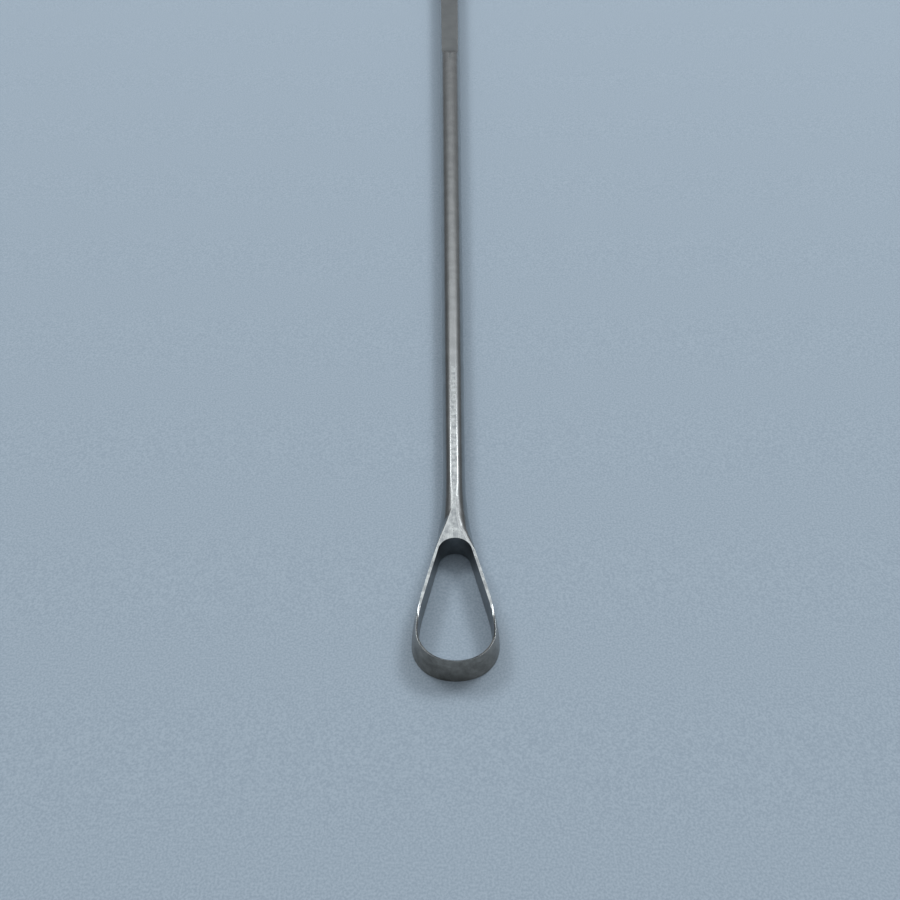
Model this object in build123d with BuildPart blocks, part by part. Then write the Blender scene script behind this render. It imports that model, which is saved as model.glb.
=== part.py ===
"""Loop curette with a hollow handle.

A narrow band of steel, bent like a teardrop and sharpened along its upper rim, runs back
through a flared neck into a long conical shaft. The shaft's spigot is brazed into a flat,
notched thumb rest. The thumb rest's tang is held by a cross pin in a bolster, which
carries the two pressed halves of a hollow handle, closed at the far end by a plug.

Frame: the tool lies along Y with its loop towards -Y and the loop's rim facing +Z. The
handle's underside is the plane Z = 0, and the origin is under the middle of the tool.
All lengths are millimetres, and all angles degrees.
"""

import os
from math import radians, sin, tan

from build123d import *

# Lengths along the tool. Those called "at" are measured from the loop's tip.
flare_at = 31.0  # where the shaft begins to widen into the neck
flare_ends_at = 15.5  # where the flare has run into the band's outer wall
draw_in_at = 16.5  # where the loop's straight legs begin to draw in to the neck
crown_at = 22.3  # where the upper ground face turns down into the neck
waist_at = 29.3  # where the ground faces of the neck lie deepest
middle_at = 97.0  # where the shaft's taper quickens
shaft_length = 158.0  # loop's tip to the shaft's end face
spigot_length = 8.0
rest_length = 54.0  # of the thumb rest, up to its shoulder
bolster_length = 10.0
shell_length = 60.0
plug_length = 8.0
tang_length = 32.0

# Loop: outer outline at its lower edge, opening, and the band's section
loop_width = 11.0
tip_radius = 7.0
tip_arc = 20.0
shoulder_radius = 25.0
leg_lean = 14.0
draw_in_radius = 50.0
draw_in_arc = 10.0
wall_draft = 9.5
rim_thickness = 0.17
opening_tip_radius = 6.0
opening_tip_arc = 15.0
opening_shoulder_radius = 16.0
opening_leg_lean = 13.85
opening_end_radius = 2.14
opening_draft = 1.3
rim_above_axis = 2.2  # at the tip
edge_below_axis = 1.7  # at the tip

# Neck and shaft
neck_diameter = 3.1
middle_diameter = 3.9
root_diameter = 5.4  # of the shaft's cone, carried on to the thumb rest's shoulder
flare_radius = 70.0
flare_lean = 11.0
flare_cones = 5  # short cones, turned one after another, that make up the flare
crown_above_axis = 1.84
waist_height = 2.88
waist_slope = 0.5
waist_blend = 50.0
spigot_diameter = 2.0

# Thumb rest: flats above and below, and notches across the back of the upper one
rest_thickness = 2.9
run_out_start = 0.5  # from the end of the shaft to where the cutter enters
run_out_radius = 6.0
notch_pitch = 1.0
notch_depth = 0.3
notch_angle = 90.0
notched_length = 15.0
notch_margin = 2.0  # plain metal between the last notch and the shoulder

# Handle
handle_width = 12.5
handle_thickness = 8.0
handle_front_width = 9.6
handle_back_width = 10.2
handle_edge_radius = 2.4
shell_wall = 0.8
seam_chamfer = 0.15
nose_length = 8.5  # of the bolster's taper
nose_inset = 1.3
nose_chamfer = 0.3
shell_lap = 5.0  # how far bolster and plug reach into the shells
plug_edge_radius = 1.15

# Tang and its pin
tang_diameter = 2.8
pin_diameter = 1.6
pin_from_shoulder = 5.0

fit_clearance = 0.05

# Places that follow from the sizes above
overall_length = shaft_length + rest_length + bolster_length + shell_length + plug_length
tip_y = -overall_length / 2
axis_height = handle_thickness / 2
joint_y = tip_y + shaft_length
shoulder_y = joint_y + rest_length
handle_front_y = shoulder_y + bolster_length
handle_back_y = handle_front_y + shell_length
neck_y = tip_y + flare_at
crown_y = tip_y + crown_at
waist_y = tip_y + waist_at
middle_y = tip_y + middle_at
neck_slope = (middle_diameter - neck_diameter) / 2 / (middle_y - neck_y)
root_slope = (root_diameter - middle_diameter) / 2 / (shoulder_y - middle_y)
joint_radius = middle_diameter / 2 + root_slope * (joint_y - middle_y)
beyond = handle_width  # reach of a cut that passes right through the tool
side_plane = Plane(origin=(0, 0, axis_height), x_dir=(0, 1, 0), z_dir=(1, 0, 0))
tool_axis = Axis((0, 0, axis_height), (0, 1, 0))


def section_plane(y):
    """Plane across the tool at y, with its origin on the tool's axis."""
    return Plane(origin=(0, y, axis_height), x_dir=(1, 0, 0), z_dir=(0, 1, 0))


def draw_teardrop(tip, width, front_radius, front_arc, side_radius, lean, inset, drawn_in):
    """Fill a teardrop whose arcs run tangent from its blunt tip to two straight legs.

    The front arc, a tighter corner arc and a wide shoulder arc follow one another, and
    the corner's radius is what makes the outline as wide as asked. All are drawn in by the
    inset. The legs meet on the axis, or draw in along an arc and end bluntly in the neck.
    """
    tip += inset
    width -= 2 * inset
    front_radius -= inset
    side_radius -= inset
    turned = sin(radians(front_arc))
    corner_radius = (width / 2 - front_radius * turned) / (1 - turned)
    with BuildLine() as outline:
        front = JernArc((0, tip), (1, 0), front_radius, front_arc)
        corner = JernArc(front @ 1, front % 1, corner_radius, 90 - front_arc)
        side = JernArc(corner @ 1, corner % 1, side_radius, lean)
        leg_start = side @ 1
        if drawn_in:
            leg_length = tip_y + draw_in_at - leg_start.Y
            leg_end = leg_start + Vector(-leg_length * tan(radians(lean)), leg_length)
            leg = Line(leg_start, leg_end)
            neck_arc = JernArc(leg @ 1, leg % 1, draw_in_radius - inset, draw_in_arc)
            Line(neck_arc @ 1, (0, (neck_arc @ 1).Y))
        else:
            Line(leg_start, (0, leg_start.Y + leg_start.X / tan(radians(lean))))
        mirror(about=Plane.YZ)
    make_face(outline.edges())


def draw_loop_outside(level):
    """Fill the loop's outer outline at a level above the axis; its wall leans inwards."""
    inset = (level + edge_below_axis) * tan(radians(wall_draft))
    draw_teardrop(
        tip_y, loop_width, tip_radius, tip_arc, shoulder_radius, leg_lean, inset, True
    )


def draw_loop_opening(level):
    """Fill the loop's opening at a level above the axis; it widens slightly upwards."""
    rim_inset = (rim_above_axis + edge_below_axis) * tan(radians(wall_draft)) + rim_thickness
    inset = (rim_above_axis - level) * tan(radians(opening_draft))
    draw_teardrop(
        tip_y + rim_inset,
        loop_width - 2 * rim_inset,
        opening_tip_radius,
        opening_tip_arc,
        opening_shoulder_radius,
        opening_leg_lean,
        inset,
        False,
    )


def draw_pin(clearance):
    """Fill the cross pin's circle, with a clearance around it."""
    with Locations((shoulder_y + pin_from_shoulder, 0)):
        Circle(pin_diameter / 2 + clearance)


def draw_lap(width):
    """Fill the section that fits inside the shells where the handle is width wide."""
    inset = shell_wall + fit_clearance
    RectangleRounded(
        width - 2 * inset,
        handle_thickness - 2 * inset,
        handle_edge_radius - inset,
    )


def handle_body(inset):
    """Closed form of the hollow handle, drawn in by inset on every side but the ends."""
    with BuildPart() as body:
        with BuildSketch(Plane.XY.offset(inset)):
            with BuildLine():
                swell = ThreePointArc(
                    (handle_front_width / 2 - inset, handle_front_y),
                    (handle_width / 2 - inset, (handle_front_y + handle_back_y) / 2),
                    (handle_back_width / 2 - inset, handle_back_y),
                )
                Line(swell @ 0, (0, handle_front_y))
                Line(swell @ 1, (0, handle_back_y))
                mirror(about=Plane.YZ)
            make_face()
        extrude(amount=handle_thickness - 2 * inset)
        long_edges = body.edges().filter_by(GeomType.CIRCLE)
        fillet(long_edges, handle_edge_radius - inset)
    return body.part


def pressed_half(side):
    """Half of the handle's shell, above or below the seams, with its seam edges broken."""
    with BuildPart() as half:
        add(handle_body(0))
        add(handle_body(shell_wall), mode=Mode.SUBTRACT)
        split(bisect_by=Plane.XY.offset(axis_height), keep=side)
        seam_edges = half.edges().filter_by_position(Axis.Z, axis_height, axis_height)
        outer_seams = seam_edges.sort_by(lambda edge: abs(edge.center().X))[-2:]
        chamfer(outer_seams, seam_chamfer)
    return half.part


def bolster_blank():
    """Bolster before it is bored: the handle's section, tapered to a nose in front."""
    with BuildPart() as blank:
        with BuildSketch(section_plane(handle_front_y)):
            RectangleRounded(handle_front_width, handle_thickness, handle_edge_radius)
        extrude(amount=-bolster_length)
        front = blank.faces().sort_by(Axis.Y)[0]
        chamfer(front.edges(), nose_inset, nose_length, reference=front)
        chamfer(blank.faces().sort_by(Axis.Y)[0].edges(), nose_chamfer)
    return blank.part


os.makedirs("parts", exist_ok=True)

# Loop, neck and shaft: one forging
with BuildPart() as loop_and_shaft:
    # Shaft turned about its axis, from the flare of the neck to the end of its spigot
    with BuildSketch(side_plane):
        with BuildLine():
            neck_start = (neck_y, neck_diameter / 2)
            flare = JernArc(
                neck_start, (-1, -neck_slope), flare_radius, -flare_lean, mode=Mode.PRIVATE
            )
            flare_steps = [flare @ (step / flare_cones) for step in range(flare_cones, 0, -1)]
            flare_end_y = tip_y + flare_ends_at
            straight = (flare @ 1).X - flare_end_y
            Polyline(
                neck_start,
                (middle_y, middle_diameter / 2),
                (joint_y, joint_radius),
                (joint_y, spigot_diameter / 2),
                (joint_y + spigot_length, spigot_diameter / 2),
                (joint_y + spigot_length, 0),
                (flare_end_y, 0),
                (flare_end_y, (flare @ 1).Y + straight * tan(radians(flare_lean))),
                *flare_steps,
                close=True,
            )
        make_face()
    revolve(axis=tool_axis)

    # Band of the loop: an outside that leans in, and an opening that leaves a thin rim
    low, high = -edge_below_axis - 1, rim_above_axis + 1
    with BuildSketch(Plane.XY.offset(axis_height + low)):
        draw_loop_outside(low)
    extrude(amount=high - low, taper=wall_draft)
    with BuildSketch(Plane.XY.offset(axis_height + low)) as opening:
        draw_loop_opening(low)
        fillet(opening.vertices().sort_by(Axis.Y)[-1], opening_end_radius)
    extrude(amount=high - low, taper=-opening_draft, mode=Mode.SUBTRACT)

    # Ground faces above and below, which slope to the waist and run out along the shaft
    reach = joint_y + spigot_length + beyond - waist_y
    rise = reach * tan(radians(waist_slope))
    with BuildSketch(side_plane) as ground:
        with BuildLine():
            Polyline(
                (tip_y, -edge_below_axis),
                (tip_y, rim_above_axis),
                (crown_y, crown_above_axis),
                (waist_y, waist_height / 2),
                (waist_y + reach, waist_height / 2 + rise),
                (waist_y + reach, -waist_height / 2 - rise),
                (waist_y, -waist_height / 2),
                close=True,
            )
        make_face()
        bends = ground.vertices().group_by(Axis.X)[1:3]
        fillet(bends[0] + bends[1], waist_blend)
    extrude(amount=beyond, both=True, mode=Mode.INTERSECT)
loop_and_shaft.part.label = "loop_and_shaft"
export_step(loop_and_shaft.part, "parts/loop_and_shaft.step")

# Thumb rest and tang: the shaft's cone carried on, flattened, and notched for the thumb
with BuildPart() as thumb_rest:
    with BuildSketch(side_plane):
        with BuildLine():
            Polyline(
                (joint_y, 0),
                (joint_y, joint_radius),
                (shoulder_y, root_diameter / 2),
                (shoulder_y, tang_diameter / 2),
                (shoulder_y + tang_length, tang_diameter / 2),
                (shoulder_y + tang_length, 0),
                close=True,
            )
        make_face()
    revolve(axis=tool_axis)
    cutter_y = joint_y + run_out_start
    with BuildSketch(side_plane) as rest_flats:
        with BuildLine():
            Polyline(
                (cutter_y, beyond),
                (cutter_y, rest_thickness / 2),
                (shoulder_y, rest_thickness / 2),
                (shoulder_y, beyond),
                close=True,
            )
        make_face()
        fillet(rest_flats.vertices().group_by(Axis.Y)[0].sort_by(Axis.X)[0], run_out_radius)
        mirror(about=Plane.XZ)
    extrude(amount=beyond, both=True, mode=Mode.SUBTRACT)

    last_notch_y = shoulder_y - notch_margin
    notch_count = int(notched_length / notch_pitch) + 1
    notch_places = [(last_notch_y - i * notch_pitch, rest_thickness / 2) for i in range(notch_count)]
    half_mouth = 2 * notch_depth * tan(radians(notch_angle / 2))
    with BuildSketch(side_plane):
        with Locations(*notch_places):
            Polygon(
                (-half_mouth, notch_depth),
                (0, -notch_depth),
                (half_mouth, notch_depth),
                align=None,
            )
    extrude(amount=beyond, both=True, mode=Mode.SUBTRACT)

    with BuildSketch(section_plane(joint_y)):
        Circle(spigot_diameter / 2 + fit_clearance)
    extrude(amount=spigot_length + fit_clearance, mode=Mode.SUBTRACT)
    with BuildSketch(side_plane):
        draw_pin(fit_clearance)
    extrude(amount=beyond, both=True, mode=Mode.SUBTRACT)
thumb_rest.part.label = "thumb_rest"
export_step(thumb_rest.part, "parts/thumb_rest.step")

# Bolster: seats the thumb rest's shoulder, and its lap carries the shells
with BuildPart() as front_bolster:
    add(bolster_blank())
    with BuildSketch(section_plane(handle_front_y)):
        draw_lap(handle_front_width)
    extrude(amount=shell_lap)
    with BuildSketch(section_plane(shoulder_y)):
        Circle(tang_diameter / 2 + fit_clearance)
    extrude(amount=bolster_length + shell_lap, mode=Mode.SUBTRACT)
    with BuildSketch(side_plane):
        draw_pin(fit_clearance)
    extrude(amount=beyond, both=True, mode=Mode.SUBTRACT)
front_bolster.part.label = "front_bolster"
export_step(front_bolster.part, "parts/front_bolster.step")

# Cross pin, dressed flush with the bolster
with BuildPart() as tang_pin:
    with BuildSketch(side_plane):
        draw_pin(0)
    extrude(amount=beyond, both=True)
    add(bolster_blank(), mode=Mode.INTERSECT)
tang_pin.part.label = "tang_pin"
export_step(tang_pin.part, "parts/tang_pin.step")

# Pressed half shells of the handle, which meet along their side seams
with BuildPart() as upper_handle_shell:
    add(pressed_half(Keep.TOP))
upper_handle_shell.part.label = "upper_handle_shell"
export_step(upper_handle_shell.part, "parts/upper_handle_shell.step")

with BuildPart() as lower_handle_shell:
    add(pressed_half(Keep.BOTTOM))
lower_handle_shell.part.label = "lower_handle_shell"
export_step(lower_handle_shell.part, "parts/lower_handle_shell.step")

# Plug that closes the far end of the shells
with BuildPart() as end_plug:
    with BuildSketch(section_plane(handle_back_y)):
        RectangleRounded(handle_back_width, handle_thickness, handle_edge_radius)
    extrude(amount=plug_length)
    fillet(end_plug.faces().sort_by(Axis.Y)[-1].edges(), plug_edge_radius)
    with BuildSketch(section_plane(handle_back_y)):
        draw_lap(handle_back_width)
    extrude(amount=-shell_lap)
end_plug.part.label = "end_plug"
export_step(end_plug.part, "parts/end_plug.step")
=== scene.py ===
"""Dressed model of a loop curette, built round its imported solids.

The steel pieces are surfaces worked out with numpy from the tool's own sizes. Lengths in the
classes are millimetres and angles degrees, unless a name or docstring says otherwise. Places
along the tool are stations, measured from the loop's tip towards the handle, and heights are
measured from the shaft's axis.
"""

from __future__ import annotations

import logging
from collections.abc import Callable
from dataclasses import dataclass
from enum import Enum, IntEnum
from math import cos, radians, sin, sqrt, tan

import bpy
import numpy as np
from mathutils import Euler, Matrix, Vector

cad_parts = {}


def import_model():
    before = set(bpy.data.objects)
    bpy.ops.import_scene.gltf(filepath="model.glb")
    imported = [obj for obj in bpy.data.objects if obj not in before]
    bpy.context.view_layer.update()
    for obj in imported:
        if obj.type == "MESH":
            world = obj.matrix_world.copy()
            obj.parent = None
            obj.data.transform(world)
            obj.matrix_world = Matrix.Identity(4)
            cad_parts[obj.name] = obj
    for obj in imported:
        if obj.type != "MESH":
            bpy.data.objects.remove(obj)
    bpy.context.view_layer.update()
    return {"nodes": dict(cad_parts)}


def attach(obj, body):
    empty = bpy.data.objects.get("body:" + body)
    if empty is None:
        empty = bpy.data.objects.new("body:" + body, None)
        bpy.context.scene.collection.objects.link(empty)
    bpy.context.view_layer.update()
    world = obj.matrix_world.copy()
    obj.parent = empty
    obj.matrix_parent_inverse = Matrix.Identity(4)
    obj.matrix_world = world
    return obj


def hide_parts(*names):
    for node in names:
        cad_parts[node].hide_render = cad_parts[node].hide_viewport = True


LOG = logging.getLogger("loop_curette")
MM = 0.001
BODY = "root"
CREASE = radians(40.0)
WELDS_PER_MM = 1e4
MIRROR = np.array([-1.0, 1.0, 1.0])

# Settings of nodes, and the range that nearly all of a noise's values lie in
SMOOTH = {"interpolation_type": "SMOOTHSTEP"}
COLOURS = {"out": 2, "data_type": "RGBA"}
NOISE_SPREAD = (0.3, 0.7)

Array = np.ndarray
Material, Socket = bpy.types.Material, bpy.types.NodeSocket

# Height of a face at a station, and across and station of a bar's outside at a height
HeightCurve = Callable[[Array], Array]
SideCurve = Callable[[Array], tuple[Array, Array]]


class Face(IntEnum):
    """Kinds of face on the forged pieces, numbered as their finishes in a piece's list."""

    ROUND = 0
    GROUND = 1
    EDGE = 2
    BORE = 3


# --- meshes


class Surface:
    """A closed mesh put together from grids of points that share their edges."""

    def __init__(self, form: ToolForm) -> None:
        """Start with no grids.

        Args:
            form: the tool's sizes, which place stations in the frame.
        """
        self.form = form
        self._points: list[Array] = []
        self._quads: list[Array] = []
        self._finish: list[Array] = []
        self._count = 0

    def add(self, grid: Array, finish: int | Array = Face.ROUND,
            ring: bool = False) -> None:
        """Add a grid of points, whose neighbours are joined by four-sided faces.

        Args:
            grid: rows x columns x 3 of across, station and height.
            finish: material index of all its faces, or of each face in rows x columns.
            ring: whether the last column joins the first.
        """
        rows, columns = grid.shape[:2]
        index = np.arange(rows * columns).reshape(rows, columns) + self._count
        if ring:
            index = abreast(index, index[:, :1])
        quads = np.stack([index[:-1, :-1], index[:-1, 1:], index[1:, 1:], index[1:, :-1]], -1)
        self._points.append(grid.reshape(-1, 3))
        self._quads.append(quads.reshape(-1, 4))
        self._finish.append(np.broadcast_to(finish, quads.shape[:2]).reshape(-1))
        self._count += rows * columns

    def add_left(self, grid: Array, finish: int | Array = Face.ROUND) -> None:
        """Add the mirror image, in the plane across = 0, of a grid of the right-hand half."""
        self.add(grid[:, ::-1] * MIRROR, np.atleast_2d(finish)[:, ::-1])

    def add_both_sides(self, grid: Array, finish: int | Array = Face.ROUND) -> None:
        """Add a grid of the right-hand half and its mirror image."""
        self.add(grid, finish)
        self.add_left(grid, finish)

    def _weld(self) -> tuple[Array, Array, Array, Array]:
        """Weld the grids, drop collapsed faces, and turn the rest outwards.

        Returns:
            Places in the frame, four-sided faces, three-sided faces, and all their finishes.
        """
        raw = np.concatenate(self._points)
        finish = np.concatenate(self._finish)
        _, first, where = np.unique(np.round(raw * WELDS_PER_MM).astype(np.int64), axis=0,
                                    return_index=True, return_inverse=True)
        points = self.form.placed(raw[first])
        quads = where.reshape(-1)[np.concatenate(self._quads)]
        same = quads == np.roll(quads, -1, axis=1)
        whole = ~same.any(1)
        folded = same.sum(1) == 1
        corner = np.argmax(same[folded], axis=1)
        keep = (corner[:, None] + np.array([1, 2, 3])) % 4
        triangles = np.take_along_axis(quads[folded], keep, axis=1)
        quads = quads[whole]
        area = np.einsum("ij,ij->i", points[quads[:, 0]],
                         np.cross(points[quads[:, 1]], points[quads[:, 2]])
                         + np.cross(points[quads[:, 2]], points[quads[:, 3]]))
        if area.sum() < 0:
            quads, triangles = quads[:, ::-1], triangles[:, ::-1]
        return points, quads, triangles, joined(finish[whole], finish[folded])

    def build(self, name: str, materials: list[Material], slot: str, replaces: str) -> None:
        """Make the object from the grids; it rides on the tool's one body.

        Args:
            name: the piece's name.
            materials: its materials, in the order of the grids' finish numbers.
            slot: the record's material slot; it is not used.
            replaces: the solid that the piece stands for.
        """
        points, quads, triangles, finish = self._weld()
        mesh = bpy.data.meshes.new(name)
        mesh.from_pydata(points, [], quads.tolist() + triangles.tolist())
        for material in materials:
            mesh.materials.append(material)
        mesh.polygons.foreach_set("material_index", finish.astype(np.int32))
        mesh.polygons.foreach_set("use_smooth", np.ones(len(finish), dtype=bool))
        mesh.set_sharp_from_angle(angle=CREASE)
        mesh.update()
        piece = in_scene(name, mesh)
        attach(piece, BODY)
        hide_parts(replaces)
        LOG.info("%s: %d faces, stands for %s", name, len(finish), replaces)


def in_scene(name: str, data: bpy.types.ID) -> bpy.types.Object:
    """Make an object of a mesh, light or camera, and put it in the scene."""
    made = bpy.data.objects.new(name, data)
    bpy.context.scene.collection.objects.link(made)
    return made


def stack(across: Array, station: Array, height: Array) -> Array:
    """Join three arrays, stretched to one shape, into points."""
    return np.stack(np.broadcast_arrays(across, station, height), axis=-1)


def joined(*parts: Array | list) -> Array:
    """Join arrays end to end."""
    return np.concatenate(parts)


def abreast(*parts: Array) -> Array:
    """Join grids side by side, so that rows grow longer."""
    return np.concatenate(parts, axis=1)


def by_row(values: Array, like: Array) -> Array:
    """Shape one value a row so that it stretches over an array of as many rows."""
    return values.reshape((-1,) + (1,) * (like.ndim - 1))


def soft_max(first: Array, second: Array, blend: float) -> Array:
    """The larger of two heights, rounded where they are within a blend of each other.

    The rounding adds a quarter of blend times the square of how near they are, where
    nearness runs from 0 at one blend apart to 1 where they are equal.
    """
    near = np.clip(1.0 - np.abs(first - second) / blend, 0.0, None)
    return np.maximum(first, second) + near**2 * blend / 4.0


# --- the tool's form


@dataclass(frozen=True)
class Teardrop:
    """Half of a teardrop outline: front arc, corner arc, side arc, then a straight leg."""

    tip: float
    width: float
    front_radius: float
    front_arc: float
    side_radius: float
    lean: float

    @property
    def corner_radius(self) -> float:
        """Radius of the corner arc, which makes the outline as wide as asked."""
        turned = sin(radians(self.front_arc))
        return (self.width / 2 - self.front_radius * turned) / (1 - turned)

    @property
    def radii(self) -> Array:
        """Radii of the front, corner and side arcs."""
        return np.array([self.front_radius, self.corner_radius, self.side_radius])

    @property
    def turn(self) -> float:
        """How far the outward normal turns from the tip to the leg."""
        return 90.0 + self.lean

    def arcs(self, turn: Array) -> tuple[Array, Array]:
        """Points on the arcs: an arc's centre plus its radius along the normal.

        Args:
            turn: angles of the outward normal, from 0 at the tip.

        Returns:
            Points and outward normals, as rows of across and station.
        """
        angle = np.radians(turn)
        normal = np.stack([np.sin(angle), -np.cos(angle)], -1)
        bend = radians(self.front_arc)
        to_corner = np.array([sin(bend), -cos(bend)])
        front = np.array([0.0, self.tip + self.front_radius])
        corner = front + (self.front_radius - self.corner_radius) * to_corner
        side = corner + (self.corner_radius - self.side_radius) * np.array([1.0, 0.0])
        which = np.digitize(turn, [self.front_arc, 90.0])
        centres = np.stack([front, corner, side])[which]
        return centres + self.radii[which][:, None] * normal, normal

    def even_turns(self, count: int) -> Array:
        """Angles of the normal at points evenly spaced along the arcs."""
        steps = np.array([0.0, self.front_arc, 90.0, self.turn])
        lengths = joined([0.0], np.cumsum(self.radii * np.radians(np.diff(steps))))
        return np.interp(np.linspace(0.0, lengths[-1], count), lengths, steps)

    @property
    def leg_start(self) -> Array:
        """Where the side arc runs into the leg."""
        return self.arcs(np.array([self.turn]))[0][0]

    @property
    def legs_meet(self) -> float:
        """Station at which the legs would meet on the axis."""
        across, station = self.leg_start
        return station + across / tan(radians(self.lean))


@dataclass(frozen=True)
class ToolForm:
    """Sizes of the whole tool, and the curves that they give."""

    overall_length: float = 290.0
    axis_height: float = 4.0
    shaft_end: float = 158.0
    shoulder: float = 212.0
    handle_front: float = 222.0
    handle_back: float = 282.0
    draw_in: float = 16.5
    crown: float = 22.3
    waist: float = 29.3
    neck: float = 31.0
    middle: float = 97.0
    neck_radius: float = 1.55
    middle_radius: float = 1.95
    root_radius: float = 2.7
    flare_radius: float = 70.0
    flare_lean: float = 11.0
    rim_height: float = 2.2
    edge_depth: float = 1.7
    crown_height: float = 1.93
    waist_height: float = 1.465
    waist_slope: float = 0.45
    bend_radius: float = 50.0
    draw_in_radius: float = 50.0
    wall_draft: float = 9.5
    opening_draft: float = 1.3
    rim_thickness: float = 0.17

    def placed(self, points: Array) -> Array:
        """Across, station and height in millimetres, as places in the frame in metres."""
        origin = np.array([0.0, -self.overall_length / 2, self.axis_height])
        return (points + origin) * MM

    def radius(self, station: Array) -> Array:
        """Radius of the turned shaft.

        Behind the neck it grows along two straight tapers. In front of it, it grows along
        an arc that leaves the taper tangentially, and then along a straight cone.
        """
        slope = (self.middle_radius - self.neck_radius) / (self.middle - self.neck)
        start = np.arctan(slope)
        centre = self.neck - self.flare_radius * sin(start)
        centre_height = self.neck_radius + self.flare_radius * cos(start)
        end = centre - self.flare_radius * sin(radians(self.flare_lean) - start)
        inside = np.clip(station, end, self.neck)
        arc = centre_height - np.sqrt(self.flare_radius**2 - (inside - centre) ** 2)
        cone = np.clip(end - station, 0.0, None) * tan(radians(self.flare_lean))
        taper = np.interp(station, [self.neck, self.middle, self.shoulder],
                          [self.neck_radius, self.middle_radius, self.root_radius])
        return np.where(station < self.neck, arc + cone, taper)

    def wall_inset(self, height: Array) -> Array:
        """How far the band's outside leans in at a height."""
        return (height + self.edge_depth) * tan(radians(self.wall_draft))

    def opening_inset(self, height: Array) -> Array:
        """How much narrower the opening is at a height than at the rim."""
        return (self.rim_height - height) * tan(radians(self.opening_draft))

    @property
    def outside(self) -> Teardrop:
        """The band's outer outline at its lower edge."""
        return Teardrop(tip=0.0, width=11.0, front_radius=7.0, front_arc=20.0,
                        side_radius=25.0, lean=14.0)

    @property
    def opening(self) -> Teardrop:
        """The opening's outline at the rim."""
        inset = float(self.wall_inset(np.array(self.rim_height))) + self.rim_thickness
        return Teardrop(tip=inset, width=self.outside.width - 2 * inset, front_radius=6.0,
                        front_arc=15.0, side_radius=16.0, lean=13.85)


# --- curves of a section


@dataclass
class GroundCurve:
    """Height of a ground face: straight slopes, joined at each bend by a wide arc.

    knees are station and height of the tip and of each bend; the last is the waist.
    """

    form: ToolForm
    knees: list[tuple[float, float]]

    def __call__(self, station: Array) -> Array:
        """Height at a station, above or below the axis and always positive."""
        knees, radius = self.knees, self.form.bend_radius
        slopes = [(high - low) / (end - start)
                  for (start, low), (end, high) in zip(knees, knees[1:])]
        slopes.append(tan(radians(self.form.waist_slope)))
        height = knees[0][1] + slopes[0] * station
        for (bend, _), before, after in zip(knees[1:], slopes, slopes[1:]):
            turn = after - before
            reach = radius * abs(turn) / 2
            past = np.clip(station - (bend - reach), 0.0, 2 * reach)
            beyond = np.clip(station - (bend + reach), 0.0, None)
            height = height + np.sign(turn) * past**2 / (2 * radius) + turn * beyond
        return height


@dataclass
class RestCurve:
    """Height of the thumb rest's flats: a run-out arc, a flat, and notches across it."""

    notches: Array | None = None
    start: float = 158.5
    run_out: float = 6.0
    half_thickness: float = 1.45
    notch_depth: float = 0.3

    def __call__(self, station: Array) -> Array:
        """Height at a station; ahead of the cutter's entry it is out of reach."""
        back = np.clip(self.start + self.run_out - station, 0.0, self.run_out)
        flat = self.half_thickness + self.run_out - np.sqrt(self.run_out**2 - back**2)
        flat = np.where(station < self.start, 2 * self.run_out, flat)
        if self.notches is not None:
            away = np.abs(station[..., None] - self.notches).min(-1)
            flat = flat - np.clip(self.notch_depth - away, 0.0, None)
        return flat


@dataclass
class TurnedSide:
    """Outside of a turned bar: across is the third side of a triangle on each row's radius."""

    radius: Array
    station: Array

    def __call__(self, height: Array) -> tuple[Array, Array]:
        """Across and station at a height, for one height or a row of heights a row."""
        across = np.sqrt(np.clip(by_row(self.radius, height) ** 2 - height**2, 0.0, None))
        return across, np.broadcast_to(by_row(self.station, height), height.shape)


@dataclass
class BandSide:
    """Outside of the loop's band, its legs and the flared neck, row by row.

    On the arcs the wall leans in along each row's normal. Behind them, across is the larger
    of the leg's leaning wall and the turned neck, rounded where they meet. The leg is
    straight, and then draws in by the square of the way along it over twice a radius.

    base and normal are each row's place on the outline of the lower edge, and its outward
    normal there. fade is 0 where rows follow the normal, and 1 where they run straight
    across. on_arcs tells which rows lie on the arcs, and blend is the rounding's width.
    """

    form: ToolForm
    base: Array
    normal: Array
    fade: Array
    on_arcs: Array
    blend: float

    def __call__(self, height: Array) -> tuple[Array, Array]:
        """Across and station at a height, for one height or a row of heights a row."""
        base_x, base_y, normal_x, normal_y, fade, on_arcs = (
            by_row(values, height)
            for values in (*self.base.T, *self.normal.T, self.fade, self.on_arcs))
        inset = self.form.wall_inset(height)
        outline = self.form.outside
        lean = radians(outline.lean)
        station = base_y - normal_y * inset * (1 - fade)
        drawn = np.clip(station - self.form.draw_in, 0.0, None)
        wall = ((outline.legs_meet - station) * tan(lean) - inset / cos(lean)
                - drawn**2 / (2 * self.form.draw_in_radius * cos(lean) ** 3))
        turned = np.sqrt(np.clip(self.form.radius(station) ** 2 - height**2, 0.0, None))
        across = np.where(on_arcs, base_x - normal_x * inset,
                          soft_max(wall, turned, self.blend))
        return across, station


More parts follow.
